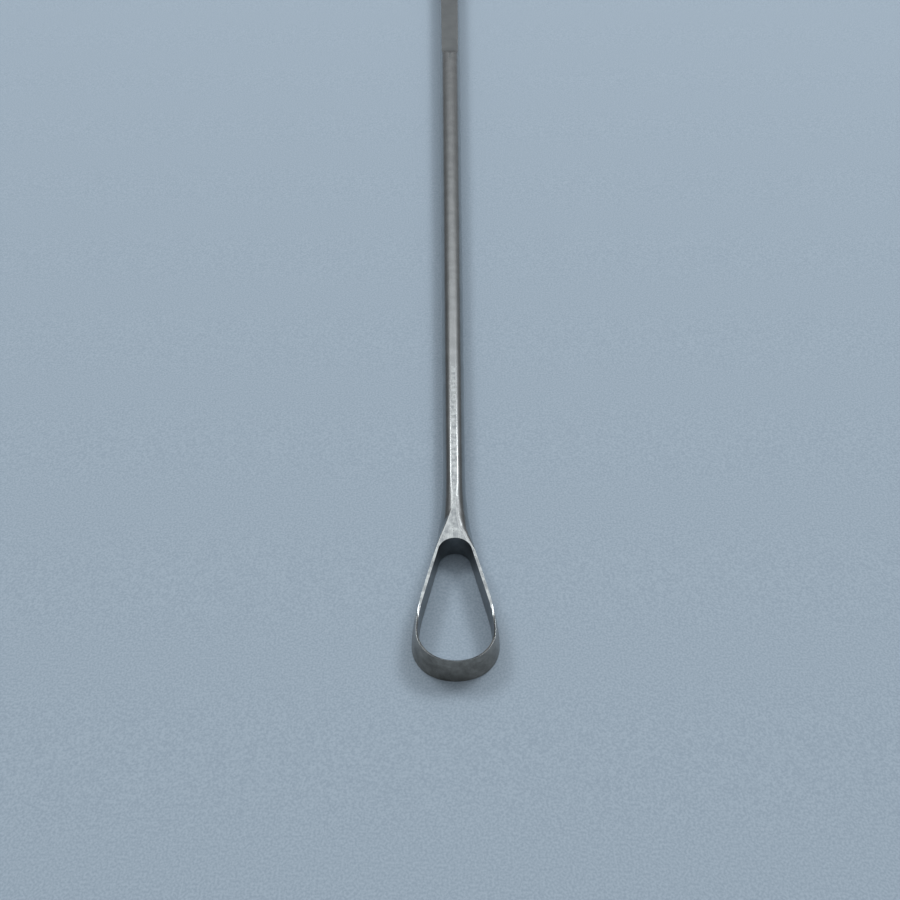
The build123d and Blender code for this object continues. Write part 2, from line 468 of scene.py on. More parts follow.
@dataclass
class Bar:
    """Half-sections of a bar with a ground face above and below, one in each row.

    top_inner and bottom_inner are where each row's faces begin: the opening's edge, or the
    axis. dish is how far the upper face drops towards its inner edge. A lip beside each
    edge, lip_width wide, has the edge's finish, and so has the rounding where it is narrower
    than widest_lip. The face's own columns end lip_reach lips before the rounding, which
    takes up at most most_rounded of the width. Where a face passes over the round bar, its
    edge stays at a least share of the radius from the middle, and lies on the round.
    """

    round_over: Array
    radius: Array
    top_inner: Array
    bottom_inner: Array
    top: HeightCurve
    bottom: HeightCurve
    side: SideCurve
    dish: Array | float = 0.0
    side_columns: int = 26
    round_columns: int = 4
    lip_width: float = 0.06
    widest_lip: float = 0.05
    lip_reach: float = 1.2
    most_rounded: float = 0.6
    least_share: float = 0.15
    face_columns: tuple[float, ...] = (0.12, 0.3, 0.5, 0.7, 0.88)

    def edge(self, curve: HeightCurve, sign: float) -> tuple[Array, Array]:
        """The outer edge of a ground face, and whether the row has a flat of any width."""
        limit = self.radius * sqrt(1 - self.least_share**2)
        height = np.zeros_like(self.radius)
        for _ in range(3):
            _, station = self.side(sign * height)
            height = np.minimum(curve(station), limit)
        across, station = self.side(sign * height)
        return stack(across, station, sign * height), curve(station) < limit

    def face(self, curve: HeightCurve, inner: Array, sign: float) -> Array:
        """Columns of a ground face from its inner edge out to where the edge rounds over."""
        edge, flat = self.edge(curve, sign)
        width = np.linalg.norm(edge[:, :2] - inner[:, :2], axis=1)
        near = np.clip(self.round_over / width, 0.0, self.most_rounded)
        lip = np.minimum(near, self.lip_width / width)
        own = 1 - near - self.lip_reach * lip
        stops = abreast(np.zeros((len(width), 1)), np.array(self.face_columns) * own[:, None],
                        (1 - near - lip)[:, None], (1 - near)[:, None])
        places = inner[:, None, :2] + stops[..., None] * (edge - inner)[:, None, :2]
        level = curve(places[..., 1])
        if sign > 0:
            level = level - np.reshape(self.dish, (-1, 1)) * (1 - stops)
        on_round = np.sqrt(np.clip(self.radius[:, None] ** 2 - places[..., 0] ** 2, 0.0, None))
        height = np.where(flat[:, None], level, np.minimum(level, on_round))
        return stack(places[..., 0], places[..., 1], sign * height)

    def grid(self) -> Array:
        """The half-section from the upper face's inner edge round to the lower one's."""
        upper = self.face(self.top, self.top_inner, 1.0)
        lower = self.face(self.bottom, self.bottom_inner, -1.0)
        upper_edge, _ = self.edge(self.top, 1.0)
        lower_edge, _ = self.edge(self.bottom, -1.0)
        start = np.arcsin((upper_edge[:, 2] - self.round_over) / self.radius)[:, None]
        end = np.arcsin((lower_edge[:, 2] + self.round_over) / self.radius)[:, None]
        turn = np.linspace(0.0, 1.0, self.side_columns)[None, :]
        height = self.radius[:, None] * np.sin(start + turn * (end - start))
        near = self.round_over[:, None]
        height = abreast(height, height[:, :1] - near, height[:, -1:] + near)
        height = np.sort(height, axis=1)[:, ::-1]
        across, station = self.side(height)
        wall = stack(across, station, height)
        over = self._rounded(upper[:, -1], upper_edge, wall[:, 0])
        under = self._rounded(wall[:, -1], lower_edge, lower[:, -1])
        return abreast(upper, over, wall, under, lower[:, ::-1])

    def _rounded(self, first: Array, corner: Array, last: Array) -> Array:
        """Columns on the parabola that runs from first to last and leans to corner."""
        part = np.linspace(0.0, 1.0, self.round_columns + 2)[None, 1:-1, None]
        return ((1 - part) ** 2 * first[:, None] + 2 * part * (1 - part) * corner[:, None]
                + part**2 * last[:, None])

    @property
    def finish(self) -> Array:
        """Finish of each face; a wide rounding has the finish of the round."""
        narrow = self.round_over[:-1, None] < self.widest_lip
        blank = np.zeros_like(narrow, dtype=int)
        ground = np.repeat(blank + Face.GROUND, len(self.face_columns) + 1, axis=1)
        rounding = np.repeat(np.where(narrow, Face.EDGE, Face.ROUND),
                             self.round_columns + 1, axis=1)
        side = np.repeat(blank + Face.ROUND, self.side_columns + 1, axis=1)
        return abreast(ground, blank + Face.EDGE, rounding, side, rounding,
                       blank + Face.EDGE, ground)


# --- pieces


@dataclass
class LoopAndShaft:
    """The forging: teardrop band, flared and ground neck, conical shaft and spigot.

    The ground faces' edges are rounded over most where the neck meets the loop, and more on
    the right than on the left, as a hand on a polishing wheel leaves them. Around the front
    of the loop the rim is honed down towards the inside. Rounding and hone are given at
    stations, and so are the ends of the ground faces' and the edges' finishes, run_out and
    edge_run_out. Behind the opening, the outer end of each row lies further back than its
    inner end, by up to lead, so that the rows go round the opening's end.
    """

    form: ToolForm
    arc_rows: int = 110
    leg_rows: int = 100
    wall_columns: int = 9
    first_step: float = 0.1
    neck_step: float = 0.3
    facet_step: float = 0.8
    facet_end: float = 62.0
    shaft_rows: int = 60
    end_radius: float = 2.25
    lead: float = 0.95
    lead_fade: float = 2.5
    wall_blend: float = 0.3
    spigot_radius: float = 1.0
    spigot_length: float = 8.0
    seam: float = 0.03
    run_out: float = 52.0
    edge_run_out: float = 40.0
    hone_depth: float = 0.14
    hone_at: tuple[float, ...] = (5.0, 7.0, 8.2, 14.0, 17.0)
    hone_share: tuple[float, ...] = (1.0, 0.72, 0.14, 0.1, 0.0)
    rounding_at: tuple[float, ...] = (12.0, 17.0, 18.5, 21.0, 22.5, 24.0, 26.5, 40.0)
    right_rounding: tuple[float, ...] = (0.03, 0.08, 0.45, 0.85, 0.55, 0.14, 0.03, 0.02)
    left_rounding: tuple[float, ...] = (0.03, 0.08, 0.15, 0.22, 0.10, 0.04, 0.03, 0.02)

    def _opening_rows(self, turns: Array) -> tuple[Array, Array]:
        """Rim of the opening: arcs, then leg, then a round end that closes on the axis.

        Args:
            turns: the outer normals' angles on the arcs.

        Returns:
            Points at the rim and normals, one a row for the arcs and the legs.
        """
        outline = self.form.opening
        share = outline.turn / self.form.outside.turn
        points, normals = outline.arcs(turns * share)
        lean = radians(outline.lean)
        centre = np.array([0.0, outline.legs_meet - self.end_radius / sin(lean)])
        touch = centre + self.end_radius * normals[-1]
        leg = float(np.linalg.norm(touch - outline.leg_start))
        bend = self.end_radius * radians(90 - outline.lean)
        along = np.linspace(0.0, leg + bend, self.leg_rows + 1)[1:, None]
        straight = outline.leg_start + along / leg * (touch - outline.leg_start)
        turn = radians(outline.turn) + np.clip(along - leg, 0.0, None) / self.end_radius
        round_normal = abreast(np.sin(turn), -np.cos(turn))
        round_end = centre + self.end_radius * round_normal
        legs = np.where(along < leg, straight, round_end)
        return joined(points, legs), joined(normals, round_normal)

    def _inner_edge(self, points: Array, normals: Array, curve: HeightCurve,
                    sign: float) -> Array:
        """The opening's edge where its wall meets a ground face."""
        height = sign * curve(points[:, 1])
        for _ in range(2):
            places = points - normals * self.form.opening_inset(height)[:, None]
            height = sign * curve(places[:, 1])
        return stack(places[:, 0], places[:, 1], height)

    def _outside(self, turns: Array, apex: float, axis: Array) -> BandSide:
        """The outside's rows: on the arcs, along the legs, and across the neck and shaft.

        Args:
            turns: the outer normals' angles on the arcs.
            apex: station at which the opening ends on the axis.
            axis: stations of the neck's and shaft's rows on the axis.
        """
        outline = self.form.outside
        arc_base, arc_normal = outline.arcs(turns)
        start = outline.leg_start[1]
        fade = np.linspace(0.0, 1.0, self.leg_rows + 1)[1:]
        ahead = self.lead * np.exp(-(axis - apex) / self.lead_fade)
        station = joined(start + fade * (apex + self.lead - start), axis + ahead)
        base = joined(arc_base, np.stack([0 * station, station], axis=-1))
        normal = joined(arc_normal, np.repeat(arc_normal[-1:], len(station), axis=0))
        fades = joined(np.zeros(self.arc_rows), fade, np.ones_like(axis))
        return BandSide(self.form, base, normal, fades,
                        np.arange(len(base)) < self.arc_rows, self.wall_blend)

    def build(self, dress: Wardrobe) -> None:
        """Make the forging's surface.

        Args:
            dress: the finished materials.
        """
        form = self.form
        rim_tip, crown = (0.0, form.rim_height), (form.crown, form.crown_height)
        waist = (form.waist, form.waist_height)
        top = GroundCurve(form, [rim_tip, crown, waist])
        bottom = GroundCurve(form, [(0.0, form.edge_depth), waist])
        turns = form.outside.even_turns(self.arc_rows)
        rim, rim_normal = self._opening_rows(turns)
        upper = self._inner_edge(rim, rim_normal, top, 1.0)
        lower = self._inner_edge(rim, rim_normal, bottom, -1.0)
        hone = self.hone_depth * np.interp(upper[:, 1], self.hone_at, self.hone_share)
        upper[:, 2] -= hone

        apex = upper[-1, 1]
        shaft_end = form.shaft_end - self.seam
        axis = joined(np.arange(apex + self.first_step, form.neck, self.neck_step),
                      np.arange(form.neck, self.facet_end, self.facet_step),
                      np.linspace(self.facet_end, shaft_end, self.shaft_rows))
        middle = stack(0 * axis, axis, 0 * axis)
        side = self._outside(turns, apex, axis)
        station = side.base[:, 1]
        surface = Surface(form)
        for rounding, add in ((self.right_rounding, surface.add),
                              (self.left_rounding, surface.add_left)):
            bar = Bar(round_over=np.interp(station, self.rounding_at, rounding),
                      radius=form.radius(station), top_inner=joined(upper, middle),
                      bottom_inner=joined(lower, middle), top=top, bottom=bottom, side=side,
                      dish=joined(hone, 0 * axis))
            grid, finish = bar.grid(), bar.finish
            reach = np.where(finish == Face.EDGE, self.edge_run_out, self.run_out)
            add(grid, np.where(station[:-1, None] < reach, finish, Face.ROUND))
        part = np.linspace(0.0, 1.0, self.wall_columns)[None, :, None]
        surface.add_both_sides(lower[:, None] + part * (upper - lower)[:, None], Face.BORE)

        last = grid[-1]
        size = float(np.hypot(last[0, 0], last[0, 2]))
        spigot_end = form.shaft_end + self.spigot_length
        surface.add_both_sides(turned_rows(last, [
            (size, shaft_end), (size - self.seam, form.shaft_end),
            (self.spigot_radius, form.shaft_end), (self.spigot_radius, spigot_end),
            (0.0, spigot_end)]))
        surface.build("forged_loop_and_shaft",
                      [dress.satin, dress.ground, dress.edge, dress.bore],
                      "forged_steel", "loop_and_shaft")


def turned_rows(last: Array, ends: list[tuple[float, float]]) -> Array:
    """Rows of a turned end: each keeps a half-section's directions at its own radius.

    Args:
        last: the half-section that they carry on from.
        ends: radius and station of each row.
    """
    around = last[:, [0, 2]] / np.hypot(last[:, 0], last[:, 2])[:, None]
    radius, station = np.array(ends).T[..., None]
    return stack(radius * around[None, :, 0], station, radius * around[None, :, 1])


@dataclass
class ThumbRest:
    """The conical rest with its flats, the notches across the upper one, and the tang."""

    form: ToolForm
    notched_length: float = 15.0
    notch_count: int = 16
    notch_margin: float = 2.0
    flat_rows: int = 60
    flat_row: float = 0.2
    notch_row: float = 0.4
    bore_radius: float = 1.05
    bore_depth: float = 8.05
    tang_radius: float = 1.4
    tang_length: float = 32.0
    tang_chamfer: float = 0.3
    seam: float = 0.03
    round_over: float = 0.07

    def build(self, dress: Wardrobe) -> None:
        """Make the thumb rest's surface."""
        form = self.form
        last = form.shoulder - self.notch_margin
        notches = np.linspace(last - self.notched_length, last, self.notch_count)
        lower, upper = RestCurve(), RestCurve(notches)
        cuts = (notches[:, None] + lower.notch_depth * np.array([-1.0, 0.0, 1.0])).ravel()
        station = joined(
            np.linspace(form.shaft_end + self.seam, lower.start, 5),
            np.linspace(lower.start + self.flat_row, cuts[0] - self.notch_row, self.flat_rows),
            cuts, np.linspace(cuts[-1] + self.notch_row, form.shoulder, 4))
        radius = form.radius(station)
        middle = stack(0 * station, station, 0 * station)
        bar = Bar(round_over=np.full_like(station, self.round_over), radius=radius,
                  top_inner=middle, bottom_inner=middle, top=upper, bottom=lower,
                  side=TurnedSide(radius, station), side_columns=30)
        grid = bar.grid()
        surface = Surface(form)
        surface.add_both_sides(grid, bar.finish)
        size = float(radius[0])
        bottom = form.shaft_end + self.bore_depth
        surface.add_both_sides(turned_rows(grid[0], [
            (0.0, bottom), (self.bore_radius, bottom), (self.bore_radius, form.shaft_end),
            (size - self.seam, form.shaft_end), (size, form.shaft_end + self.seam)]))
        end = form.shoulder + self.tang_length
        tang = turned_rows(grid[-1], [
            (self.tang_radius, form.shoulder), (self.tang_radius, end - self.tang_chamfer),
            (self.tang_radius - self.tang_chamfer, end), (0.0, end)])
        surface.add_both_sides(joined(grid[-1:], tang))
        surface.build("notched_thumb_rest", [dress.satin, dress.milled, dress.satin],
                      "forged_steel", "thumb_rest")


@dataclass
class HollowHandle:
    """Bolster, two pressed halves, end plug and cross pin.

    Rows lie close beside each chamfer, joint and rounding, so that edges stay crisp.
    """

    form: ToolForm
    front_width: float = 9.6
    middle_width: float = 12.499
    back_width: float = 10.2
    thickness: float = 8.0
    edge_radius: float = 2.4
    wall: float = 0.8
    seam_chamfer: float = 0.15
    clearance: float = 0.05
    lap: float = 5.0
    nose_length: float = 8.5
    nose_inset: float = 1.3
    nose_chamfer: float = 0.3
    bore_radius: float = 1.45
    plug_edge_radius: float = 1.15
    joint: float = 0.05
    edge_row: float = 0.06
    joint_row: float = 0.2
    face_row: float = 0.15
    pin_radius: float = 0.8
    pin_station: float = 217.0
    pin_crown: float = 0.07
    pin_proud: float = 0.04
    shell_rows: int = 90

    def half_width(self, station: Array) -> Array:
        """Half the handle's width: an arc through its ends and its widest place.

        The arc's centre is as far from all three places.
        """
        form = self.form
        middle = (form.handle_front + form.handle_back) / 2
        x = np.array([form.handle_front, middle, form.handle_back])
        y = np.array([self.front_width, self.middle_width, self.back_width]) / 2
        lines = 2 * np.stack([x[1:] - x[0], y[1:] - y[0]], axis=1)
        sums = x[1:] ** 2 - x[0] ** 2 + y[1:] ** 2 - y[0] ** 2
        centre = np.linalg.solve(lines, sums)
        reach = np.hypot(x[0] - centre[0], y[0] - centre[1])
        return centre[1] + np.sqrt(reach**2 - (station - centre[0]) ** 2)

    def rings(self, station: Array, half_width: Array | float, inset: Array) -> Array:
        """Rounded rectangles at stations, each drawn in by its inset."""
        return rounded_rings(station, half_width - inset, self.thickness / 2 - inset,
                             self.edge_radius - inset)

    def shell(self, name: str, replaces: str, sign: float, dress: Wardrobe) -> None:
        """One pressed half: an outer and an inner skin that meet at the seams and the ends.

        Args:
            name: the piece's name.
            replaces: the solid that it stands for.
            sign: 1 for the upper half, -1 for the lower one.
            dress: the finished materials.
        """
        form = self.form
        station = np.linspace(form.handle_front, form.handle_back, self.shell_rows)
        beside = station[[0, -1]] + [self.joint, -self.joint]
        station = np.sort(joined(station, beside))
        drawn = np.where((station == station[0]) | (station == station[-1]), self.joint, 0.0)
        width = self.half_width(station)
        skins = []
        for inset, chamfer in ((drawn, self.seam_chamfer),
                               (np.full_like(station, self.wall), 0.0)):
            ring = self.rings(station, width, inset)
            half = ring[:, 1:ring.shape[1] // 2]
            low = ring[:, :1] - np.array([chamfer, 0.0, 0.0])
            high = ring[:, :1] + np.array([0.0, 0.0, self.seam_chamfer])
            skins.append(abreast(low, high, half, high * MIRROR, low * MIRROR)
                         * np.array([1.0, 1.0, sign]))
        skin, lining = skins
        surface = Surface(form)
        surface.add(skin)
        surface.add(lining[:, ::-1])
        surface.add(np.stack([lining[0], skin[0]]))
        surface.add(np.stack([skin[-1], lining[-1]]))
        surface.add(np.stack([lining[:, 0], skin[:, 0]], axis=1))
        surface.add(np.stack([skin[:, -1], lining[:, -1]], axis=1))
        surface.build(name, [dress.handle], "handle_steel", replaces)

    def nose(self, station: Array) -> Array:
        """How far the bolster is drawn in: a straight taper that ends behind the nose."""
        return self.nose_inset * np.clip(
            1 - (station - self.form.shoulder) / self.nose_length, 0.0, 1.0)

    def bolster(self, dress: Wardrobe) -> None:
        """The bolster: nose, taper, lap for the shells, and the tang's bore."""
        form = self.form
        front, back = form.shoulder, form.handle_front
        fit = self.wall + self.clearance
        body = joined(front + self.nose_chamfer + np.array([0.0, self.edge_row]),
                      np.linspace(front + 1.0, front + self.nose_length, 10),
                      [back - self.joint_row, back - self.joint])
        station = joined([front, front], body, [back, back, back + self.lap])
        face = float(self.nose(np.array(front))) + self.nose_chamfer
        inset = joined([face + self.edge_row, face], self.nose(body), [self.joint, fit, fit])
        bore = round_rings([back + self.lap, front], self.bore_radius)
        surface = Surface(form)
        surface.add(joined(bore[1:], self.rings(station, self.front_width / 2, inset),
                           bore), ring=True)
        surface.build("tapered_bolster", [dress.handle], "handle_steel", "front_bolster")

    def plug(self, dress: Wardrobe) -> None:
        """The end plug: lap, body, and an end whose edge is rounded along a quarter arc."""
        form = self.form
        front, back = form.handle_back, form.overall_length
        fit = self.wall + self.clearance
        turn = np.linspace(0.0, np.pi / 2, 9)
        radius, beside = self.plug_edge_radius, self.face_row
        station = joined([front - self.lap, front, front, front + self.joint,
                          front + self.joint_row, back - radius - beside],
                         back - radius + radius * np.sin(turn), [back])
        inset = joined([fit, fit, self.joint, 0.0, 0.0, 0.0],
                       radius * (1 - np.cos(turn)), [radius + beside])
        poles = round_rings([front - self.lap, back], 0.0)
        surface = Surface(form)
        surface.add(joined(poles[:1], self.rings(station, self.back_width / 2, inset),
                           poles[1:]), ring=True)
        surface.build("handle_end_plug", [dress.handle], "handle_steel", "end_plug")

    def pin(self, dress: Wardrobe) -> None:
        """The cross pin: flush with the tapered sides, and peened to a low crown."""
        share = np.array([0.0, 0.35, 0.65, 0.85, 0.95, 1.0])[:, None]
        angle = np.linspace(0.0, 2 * np.pi, 40, endpoint=False)[None, :]
        station = self.pin_station + share * self.pin_radius * np.cos(angle)
        height = share * self.pin_radius * np.sin(angle)
        side = self.front_width / 2 - self.nose(station)
        crown = stack(side + self.pin_proud - self.pin_crown * share**4, station, height)
        surface = Surface(self.form)
        surface.add(joined(crown, crown[::-1] * MIRROR), ring=True)
        surface.build("peened_tang_pin", [dress.pin], "pin_steel", "tang_pin")

    def build(self, dress: Wardrobe) -> None:
        """Make every piece of the handle."""
        self.bolster(dress)
        self.shell("upper_handle_half", "upper_handle_shell", 1.0, dress)
        self.shell("lower_handle_half", "lower_handle_shell", -1.0, dress)
        self.plug(dress)
        self.pin(dress)


def rounded_rings(station: Array, half_width: Array, half_height: Array,
                  radius: Array) -> Array:
    """Rounded rectangles across the tool, from the middle of the right side upwards.

    Each corner is its centre plus the radius along a quarter turn. The columns on each side
    lie closer together towards the corners. Every array has one value a ring.

    Args:
        station: where the ring lies.
        half_width: half its width.
        half_height: half its height.
        radius: radius of its corners.
    """
    corner, flat = 12, 8
    turn = np.linspace(0.0, np.pi / 2, corner)[None, :]
    wide, high = (half_width - radius)[:, None], (half_height - radius)[:, None]
    bend = radius[:, None]
    part = (1 - (1 - np.linspace(0.0, 1.0, flat, endpoint=False)) ** 2)[None, :]
    x = abreast(np.repeat(wide + bend, flat, axis=1), wide + bend * np.cos(turn),
                (wide * part)[:, ::-1])
    z = abreast(high * part, high + bend * np.sin(turn), np.repeat(high + bend, flat, axis=1))
    x, z = abreast(x, -x[:, -2::-1]), abreast(z, z[:, -2::-1])
    x, z = abreast(x, x[:, -2:0:-1]), abreast(z, -z[:, -2:0:-1])
    return stack(x, station[:, None], z)


def round_rings(station: list[float], radius: float) -> Array:
    """Circles, or points where the radius is 0, with as many columns as rounded rectangles."""
    size = np.full(len(station), radius)
    return rounded_rings(np.array(station), size, size, size)


# --- finishes


def linear(code: str) -> tuple[float, float, float, float]:
    """An sRGB hex colour turned linear by the standard's two-part curve."""
    parts = np.array([int(code[i:i + 2], 16) / 255 for i in (1, 3, 5)])
    curve = np.where(parts <= 0.04045, parts / 12.92, ((parts + 0.055) / 1.055) ** 2.4)
    return (*curve.tolist(), 1.0)


class Nodes:
    """The node tree of a material or world, which starts empty."""

    def __init__(self, owner: Material | bpy.types.World) -> None:
        """Empty the tree."""
        owner.use_nodes = True
        self.tree = owner.node_tree
        self.tree.nodes.clear()

    def add(self, kind: str, inputs: dict | tuple = (), out: int | str = 0,
            **settings: str | bool) -> Socket | None:
        """Add a node with its settings, values and links.

        Args:
            kind: the node's type name, without the words that all of them start with.
            inputs: a value or the socket that feeds it, for the sockets from the first on,
                or for the sockets that a dictionary gives by name or number.
            out: name or number of the output.
            settings: attributes of the node.

        Returns:
            The output, or nothing where the node has none.
        """
        node = self.tree.nodes.new("ShaderNode" + kind)
        for key, value in settings.items():
            setattr(node, key, value)
        for key, value in inputs.items() if isinstance(inputs, dict) else enumerate(inputs):
            if isinstance(value, Socket):
                self.tree.links.new(value, node.inputs[key])
            else:
                node.inputs[key].default_value = value
        return node.outputs[out] if node.outputs else None


def frame_y(station: float) -> float:
    """Place of a station along the frame's Y axis, in metres."""
    return (station - ToolForm.overall_length / 2) * MM


class WearAndShade(Enum):
    """What marks a steel surface besides its grain: real pits, and painted shade on the front
    of the loop.
    """

    NONE = "none"
    PITS_BY_OPENING = "pits left by the forging scale, near the opening's narrow end"
    # The front of the loop: a warmer tone of the steel, darkened as painted shade for the
    # shadowed table that it mirrors
    WARM_TONE_AND_SHADE_ON_LOOP = "blotches of the forging scale itself, on the front of the loop"


@dataclass(frozen=True)
class SteelFinish:
    """Martensitic stainless steel under one finishing step.

    The grain is noise stretched along the tool, which the abrasive leaves as fine lines.
    The mottle is the soft cloudiness of hand polishing.
    """

    name: str
    light: str
    dark: str
    roughness: float
    roughness_swing: float
    grain_pitch: float
    grain_length: float
    grain_depth: float
    mottle_size: float
    wear_and_shade: WearAndShade = WearAndShade.NONE

    def build(self) -> Material:
        """Make the node material: grain in roughness and bump, mottle in colour."""
        material = bpy.data.materials.new(self.name)
        nodes = Nodes(material)
        place = nodes.add("TexCoord", out="Object")
        across, along = 1 / (self.grain_pitch * MM), 1 / (self.grain_length * MM)
        lines = nodes.add("Mapping", {"Vector": place, "Scale": (across, along, across)})
        grain = nodes.add("TexNoise", {"Vector": lines, "Scale": 1.0, "Detail": 3.0,
                                       "Roughness": 0.65})
        cloud = nodes.add("TexNoise", {"Vector": place, "Scale": 1 / (self.mottle_size * MM),
                                       "Detail": 4.0, "Roughness": 0.6})
        tone = nodes.add("MapRange", (cloud, *NOISE_SPREAD), **SMOOTH)
        streak = nodes.add("MapRange", (grain, *NOISE_SPREAD, -0.2, 0.2))
        mixed = nodes.add("Math", (tone, streak), operation="ADD", use_clamp=True)
        colour = nodes.add("Mix", {0: mixed, 6: linear(self.dark), 7: linear(self.light)},
                           **COLOURS)
        rough = nodes.add("MapRange", (grain, *NOISE_SPREAD,
                                       self.roughness - self.roughness_swing,
                                       self.roughness + self.roughness_swing))
        relief = grain
        if self.wear_and_shade is WearAndShade.PITS_BY_OPENING:
            relief, colour = self._pits(nodes, place, grain, colour)
        elif self.wear_and_shade is WearAndShade.WARM_TONE_AND_SHADE_ON_LOOP:
            colour = self._warm_tone_and_shade(nodes, place, colour)
        bump = nodes.add("Bump", {"Height": relief, "Strength": 1.0,
                                  "Distance": self.grain_depth * MM})
        shader = nodes.add("BsdfPrincipled", {"Base Color": colour, "Metallic": 1.0,
                                              "Roughness": rough, "Normal": bump})
        nodes.add("OutputMaterial", {"Surface": shader})
        return material

    @staticmethod
    def _warm_tone_and_shade(nodes: Nodes, place: Socket, colour: Socket) -> Socket:
        """Warm blotches, 0.5 to 2 mm wide, on the front 12 mm of the loop, darkened as painted
        shade.

        Returns:
            The colour with the warm tone and its painted shade over it.
        """
        blotch = nodes.add("TexNoise", {"Vector": place, "Scale": 1 / (1.6 * MM),
                                        "Detail": 6.0, "Roughness": 0.7})
        share = nodes.add("MapRange", (blotch, 0.36, 0.64))
        # Painted shade: these blotches, darker on the whole than the satin, stand for the
        # shadowed table that the front of the loop mirrors; the warm tone is the steel's own
        tinted_shade = nodes.add("Mix", {0: share, 6: linear("#7f7a73"), 7: linear("#a39d95")},
                          **COLOURS)
        along = nodes.add("SeparateXYZ", (place,), out=1)
        where = nodes.add("MapRange", (along, frame_y(5.0), frame_y(12.0), 1.0, 0.0), **SMOOTH)
        return nodes.add("Mix", {0: where, 6: colour, 7: tinted_shade}, **COLOURS)

    @staticmethod
    def _pits(nodes: Nodes, place: Socket, grain: Socket,
              colour: Socket) -> tuple[Socket, Socket]:
        """Small dark pits, 0.1 to 0.2 mm wide, between 12 and 26 mm from the loop's tip.

        They go down one and a half times as far as the grain, and darken it by 0.6.

        Returns:
            The relief and the colour with the pits in them.
        """
        spots = nodes.add("TexVoronoi", {"Vector": place, "Scale": 1 / (0.5 * MM),
                                         "Randomness": 1.0})
        along = nodes.add("SeparateXYZ", (place,), out=1)
        rise = nodes.add("MapRange", (along, frame_y(12.0), frame_y(16.0)), **SMOOTH)
        fall = nodes.add("MapRange", (along, frame_y(21.0), frame_y(26.0), 1.0, 0.0), **SMOOTH)
        where = nodes.add("Math", (rise, fall), operation="MULTIPLY")
        spot = nodes.add("MapRange", (spots, 0.1, 0.22, 1.0, 0.0), **SMOOTH)
        pit = nodes.add("Math", (spot, where), operation="MULTIPLY")
        relief = nodes.add("Math", (pit, -1.5, grain), operation="MULTIPLY_ADD")
        share = nodes.add("Math", (pit, 0.6), operation="MULTIPLY")
        shaded = nodes.add("Mix", {0: share, 6: colour, 7: linear("#3c3a38")}, **COLOURS)
        return relief, shaded


class Wardrobe:
    """The finished materials of the tool's pieces."""

    def __init__(self) -> None:
        """Make each finish once."""
        # Satin-polished stainless: a broad soft highlight, with faint lines along the tool, and
        # on the front of the loop a warmer tone darkened as painted shade
        self.satin = SteelFinish("satin_stainless", "#969a9c", "#8a8e90", 0.24, 0.03,
                                 0.10, 6.0, 0.0003, 2.5, WearAndShade.WARM_TONE_AND_SHADE_ON_LOOP).build()
        # Filed stainless inside the opening: rougher, and darker as painted shade for walls
        # that mirror the shadowed table in the loop
        self.bore = SteelFinish("filed_and_shaded_stainless", "#8a8d8f", "#7a7d7f", 0.32, 0.04,
                                0.12, 0.6, 0.0008, 1.2).build()
        # Surface-ground stainless: brighter, with clear lines along the tool and some pits
        self.ground = SteelFinish("ground_stainless", "#acb1b2", "#83888b", 0.24, 0.07,
                                  0.13, 2.4, 0.0026, 0.9, WearAndShade.PITS_BY_OPENING).build()
        # Milled stainless: duller than the satin, with the cutter's finer lines
        self.milled = SteelFinish("milled_stainless", "#74797b", "#6b7073", 0.38, 0.03,
                                  0.12, 1.0, 0.0003, 3.0).build()
        # Burnished edges: where grinding and use have turned the steel bright
        self.edge = SteelFinish("burnished_edge", "#b6bbbc", "#a0a4a5", 0.26, 0.05,
                                0.08, 0.9, 0.0010, 0.5).build()
        # Belt-brushed stainless: even lines along the handle
        self.handle = SteelFinish("brushed_stainless", "#a6aaac", "#999d9f", 0.34, 0.06,
                                  0.12, 9.0, 0.0020, 6.0).build()
        # Peened stainless: a little darker and rougher where the hammer and file went
        self.pin = SteelFinish("peened_stainless", "#95999b", "#878b8d", 0.38, 0.06,
                               0.15, 0.3, 0.0030, 0.5).build()


# --- studio


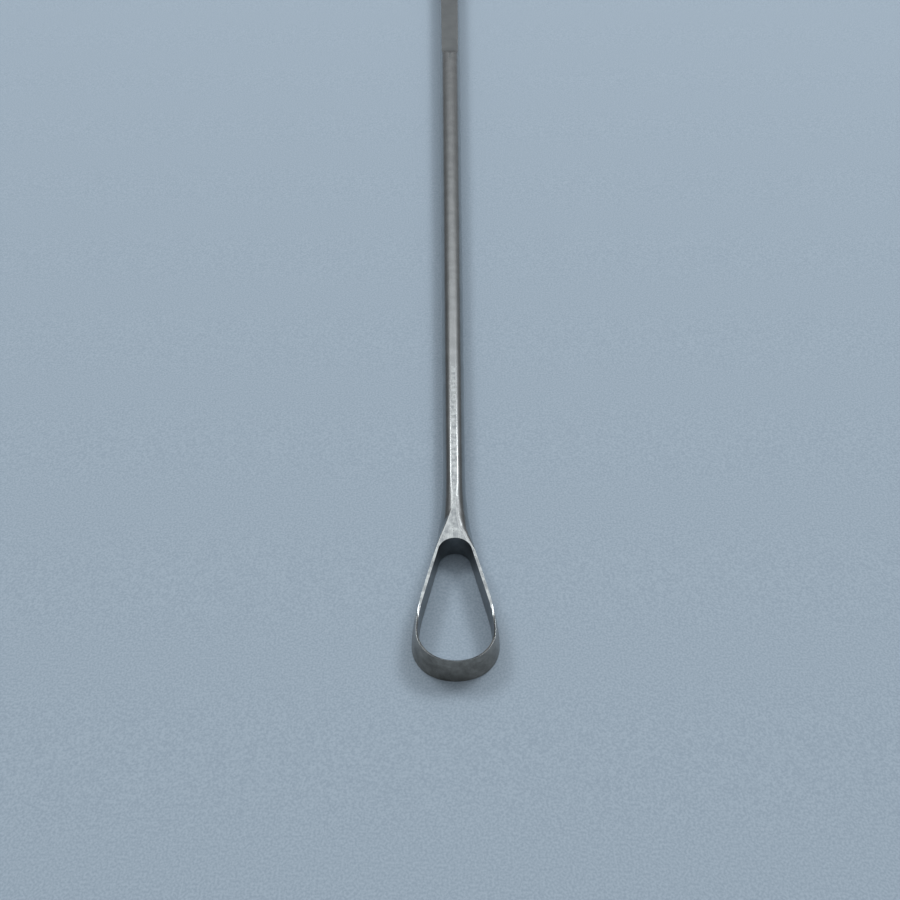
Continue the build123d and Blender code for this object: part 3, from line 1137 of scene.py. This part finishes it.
@dataclass
class Studio:
    """Pale matt table, two soft boxes, a soft sky beyond the loop, and the camera.

    The table's size and the lamps' target, distance and size are metres, and lamp_beyond is
    how far they stand beyond the loop for each metre up. The fades are ranges of a
    direction's X or Y.
    """

    form: ToolForm
    table_size: float = 3.0
    table_gap: float = 0.02
    loop_rest: float = 2.3
    table_colour: str = "#a0b0be"
    table_fleck: str = "#91a1b0"
    lamp_target: tuple[float, float, float] = (0.0, -0.12, 0.0)
    lamp_distance: float = 0.9
    lamp_beyond: float = 0.66
    lamp_size: tuple[float, float] = (0.30, 0.22)
    camera_place: tuple[float, float, float] = (-0.98, -196.97, 101.9)
    camera_pitch: float = 48.0
    camera_turn: float = -0.27
    sky_ramp: tuple[tuple[float, float], ...] = (
        (0.0, 0.15), (0.38, 0.23), (0.45, 0.38), (0.53, 0.56), (0.60, 0.88),
        (0.65, 1.25), (0.74, 1.3), (0.86, 1.25), (1.0, 0.8))
    sky_ahead: float = 0.16
    sky_behind: float = 0.36
    left_fade: tuple[float, float] = (-0.7, -0.2)
    right_fade: tuple[float, float] = (0.4, 0.85)
    ahead_fade: tuple[float, float] = (-0.2, 0.3)

    def table(self) -> None:
        """The table: a plane through the handle's front underside and the loop's lower edge."""
        form = self.form
        tip = -form.overall_length / 2
        slope = self.loop_rest / form.handle_front
        reach = self.table_size / 2 / MM
        y = np.array([-reach, -reach, reach, reach])
        x = np.array([-reach, reach, reach, -reach])
        z = self.loop_rest - slope * (y - tip) - self.table_gap
        mesh = bpy.data.meshes.new("table")
        mesh.from_pydata(np.stack([x, y, z], -1) * MM, [], [[0, 1, 2, 3]])
        mesh.materials.append(self._laminate())
        in_scene("table", mesh)

    def _laminate(self) -> Material:
        """Matt laminate: pale blue-grey with a fleck of about a quarter of a millimetre."""
        material = bpy.data.materials.new("matt_laminate")
        nodes = Nodes(material)
        place = nodes.add("TexCoord", out="Object")
        fleck = nodes.add("TexNoise", {"Vector": place, "Scale": 1 / (0.25 * MM),
                                       "Detail": 2.0})
        share = nodes.add("MapRange", (fleck, 0.35, 0.65))
        colour = nodes.add("Mix", {0: share, 6: linear(self.table_fleck),
                                   7: linear(self.table_colour)}, **COLOURS)
        shader = nodes.add("BsdfPrincipled", {"Base Color": colour, "Roughness": 0.75,
                                              "Specular IOR Level": 0.2})
        nodes.add("OutputMaterial", {"Surface": shader})
        return material

    def sky(self) -> None:
        """Soft surroundings: a bright band overhead and beyond the loop, dim at the sides.

        Beyond the loop their brightness is sky_ahead plus a ramp over the direction's
        height, which fades to either side. Behind the viewer it is an even sky_behind.
        """
        world = bpy.data.worlds.new("studio_sky")
        bpy.context.scene.world = world
        nodes = Nodes(world)
        direction = nodes.add("TexCoord", out="Generated")
        x, y, z = nodes.add("SeparateXYZ", (direction,)).node.outputs
        height = nodes.add("ValToRGB", (z,))
        stops = height.node.color_ramp.elements
        while len(stops) < len(self.sky_ramp):
            stops.new(0.5)
        for stop, (position, value) in zip(stops, self.sky_ramp):
            stop.position = position
            stop.color = (value, value, value, 1.0)
        left = nodes.add("MapRange", (x, *self.left_fade), **SMOOTH)
        right = nodes.add("MapRange", (x, *self.right_fade, 1.0, 0.0), **SMOOTH)
        middle = nodes.add("Math", (left, right), operation="MULTIPLY")
        ahead = nodes.add("MapRange", (y, *self.ahead_fade), **SMOOTH)
        glow = nodes.add("Math", (height, middle, self.sky_ahead - self.sky_behind),
                         operation="MULTIPLY_ADD")
        level = nodes.add("Math", (glow, ahead, self.sky_behind), operation="MULTIPLY_ADD")
        tint = nodes.add("Mix", {0: 1.0, 6: (0.98, 0.99, 1.0, 1.0), 7: level},
                         **COLOURS, blend_type="MULTIPLY")
        air = nodes.add("Background", {"Color": tint})
        plain = nodes.add("Background", {"Color": linear("#b9c6d2")})
        seen = nodes.add("LightPath", out="Is Camera Ray")
        mix = nodes.add("MixShader", (seen, air, plain))
        nodes.add("OutputWorld", {"Surface": mix})

    def lamp(self, name: str, aside: float, watts: float) -> None:
        """A soft box up and beyond the loop and to one side.

        Args:
            name: name of the light.
            aside: how far it stands to the right for each metre that it stands up.
            watts: power of the light.
        """
        away = Vector((aside, self.lamp_beyond, 1.0)).normalized()
        data = bpy.data.lights.new(name, "AREA")
        data.shape = "RECTANGLE"
        data.size, data.size_y = self.lamp_size
        data.energy = watts
        lamp = in_scene(name, data)
        lamp.location = Vector(self.lamp_target) + self.lamp_distance * away
        lamp.rotation_euler = away.to_track_quat("Z", "Y").to_euler()

    def camera(self) -> None:
        """The camera, which looks down on the loop along the shaft."""
        data = bpy.data.cameras.new("camera")
        data.sensor_width = 36.0
        data.lens = 36.0
        data.clip_start = 0.005
        data.clip_end = 20.0
        camera = in_scene("camera", data)
        camera.location = Vector(self.camera_place) * MM
        camera.rotation_euler = Euler((radians(90.0 - self.camera_pitch), 0.0,
                                       radians(self.camera_turn)))
        bpy.context.scene.camera = camera

    def build(self) -> None:
        """Set up table, light and camera."""
        bpy.context.scene.view_settings.view_transform = "Standard"
        self.table()
        self.sky()
        self.lamp("left_soft_box", -0.58, 2.1)
        self.lamp("right_soft_box", 0.58, 2.5)
        self.camera()


def main() -> None:
    """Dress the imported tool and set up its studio."""
    logging.basicConfig(level=logging.INFO, format="%(name)s: %(message)s")
    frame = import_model()
    LOG.info("%d solids loaded", len(frame["nodes"]))
    form = ToolForm()
    dress = Wardrobe()
    LoopAndShaft(form).build(dress)
    ThumbRest(form).build(dress)
    HollowHandle(form).build(dress)
    Studio(form).build()


if __name__ == "__main__":
    main()
